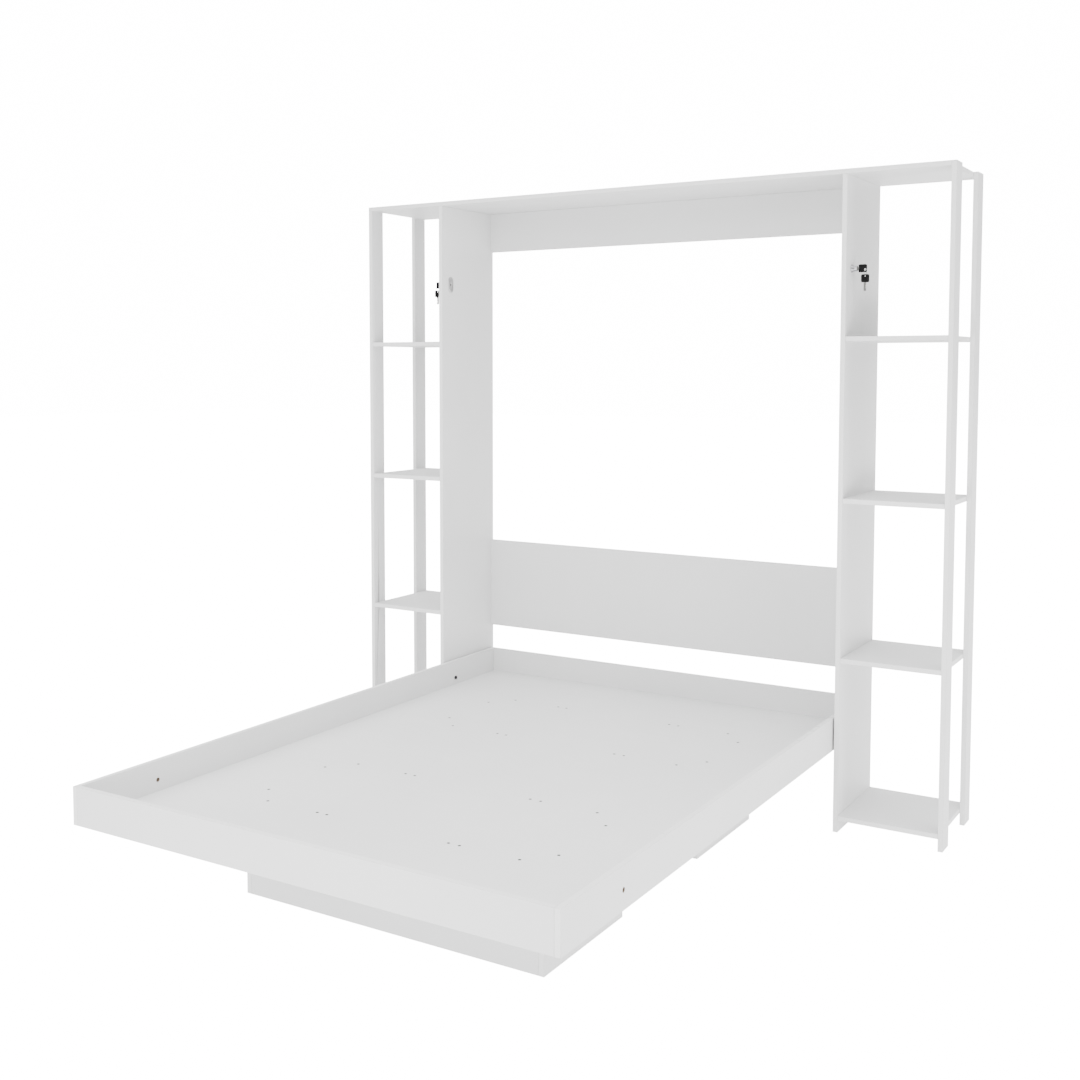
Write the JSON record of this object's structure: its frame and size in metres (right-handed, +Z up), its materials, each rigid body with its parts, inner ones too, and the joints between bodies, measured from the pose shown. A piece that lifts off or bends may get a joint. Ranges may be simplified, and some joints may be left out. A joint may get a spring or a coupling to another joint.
{
  "type": "murphy wall bed",
  "caption": "Double wall bed whose tray folds up between two open shelf towers and locks upright with a key on each side.",
  "frame": {"origin": "on the floor, at the middle of the open bed's footprint", "axes": "+Z up, +X right, +Y towards the wall behind the cabinet, the bed opens towards -Y"},
  "size_m": [2.094, 1.967, 1.989],
  "materials": {
    "laminate": "satin white melamine on particle board",
    "beech": "raw beech dowel",
    "chrome": "polished",
    "steel": "brushed nickel",
    "black_plastic": "matt moulded"
  },
  "bodies": {
    "cabinet": {"top_panel": "laminate", "upper_back_rail": "laminate", "headboard": "laminate", "cabinet_dowels": "beech", "pivot_bolts": "steel", "pivot_inserts": "steel", "pivot_washers": "black_plastic", "side_panel_left": "laminate", "post_front_left": "laminate", "post_rear_left": "laminate", "shelf_left_1": "laminate", "shelf_left_2": "laminate", "shelf_left_3": "laminate", "shelf_left_4": "laminate", "lock_barrel_left": "chrome", "lock_plate_left": "chrome", "side_panel_right": "laminate", "post_front_right": "laminate", "post_rear_right": "laminate", "shelf_right_1": "laminate", "shelf_right_2": "laminate", "shelf_right_3": "laminate", "shelf_right_4": "laminate", "lock_barrel_right": "chrome", "lock_plate_right": "chrome"},
    "bed_tray": {"foot_board": "laminate", "head_rail": "laminate", "base_panel": "laminate", "tray_dowels": "beech", "base_screws": "steel", "pivot_bushes": "black_plastic", "side_rail_left": "laminate", "foot_leg_side_left": "laminate", "foot_leg_divider_left": "laminate", "head_leg_side_left": "laminate", "head_leg_divider_left": "laminate", "side_rail_right": "laminate", "foot_leg_side_right": "laminate", "foot_leg_divider_right": "laminate", "head_leg_side_right": "laminate", "head_leg_divider_right": "laminate", "foot_leg_cross_front": "laminate", "foot_leg_cross_rear": "laminate", "head_leg_cross_front": "laminate", "head_leg_cross_rear": "laminate"},
    "key_left": {"lock_plug_left": "steel", "key_blade_left": "steel", "key_head_left": "black_plastic"},
    "lock_bolt_left": {"lock_bolt_left": "steel"},
    "spare_key_left": {"key_ring_left": "steel", "spare_key_head_left": "black_plastic", "spare_key_blade_left": "steel"},
    "key_right": {"lock_plug_right": "steel", "key_blade_right": "steel", "key_head_right": "black_plastic"},
    "lock_bolt_right": {"lock_bolt_right": "steel"},
    "spare_key_right": {"key_ring_right": "steel", "spare_key_head_right": "black_plastic", "spare_key_blade_right": "steel"}
  },
  "joints": [
    {"name": "bed_fold", "type": "hinge", "parent": "cabinet", "child": "bed_tray", "pos_m": [0, 0.6995, 0.286], "axis": [-1, 0, 0], "range_deg": [0, 90]},
    {"name": "key_turn_left", "type": "hinge", "parent": "cabinet", "child": "key_left", "pos_m": [-0.745, 0.7065, 1.7], "axis": [-1, 0, 0], "range_deg": [0, 90]},
    {"name": "bolt_slide_left", "type": "slide", "parent": "cabinet", "child": "lock_bolt_left", "axis": [1, 0, 0], "range_m": [0, 0.012]},
    {"name": "spare_key_swing_left", "type": "hinge", "parent": "key_left", "child": "spare_key_left", "pos_m": [-0.7755, 0.7065, 1.696], "axis": [-1, 0, 0], "range_deg": [-30, 30]},
    {"name": "key_turn_right", "type": "hinge", "parent": "cabinet", "child": "key_right", "pos_m": [0.745, 0.7065, 1.7], "axis": [1, 0, 0], "range_deg": [0, 90]},
    {"name": "bolt_slide_right", "type": "slide", "parent": "cabinet", "child": "lock_bolt_right", "axis": [-1, 0, 0], "range_m": [0, 0.012]},
    {"name": "spare_key_swing_right", "type": "hinge", "parent": "key_right", "child": "spare_key_right", "pos_m": [0.7755, 0.7065, 1.696], "axis": [1, 0, 0], "range_deg": [-30, 30]}
  ],
  "couplings": [
    {"joint": "key_turn_left", "follows": "bolt_slide_left", "rad_per_m": 130.9},
    {"joint": "key_turn_right", "follows": "bolt_slide_right", "rad_per_m": 130.9}
  ]
}
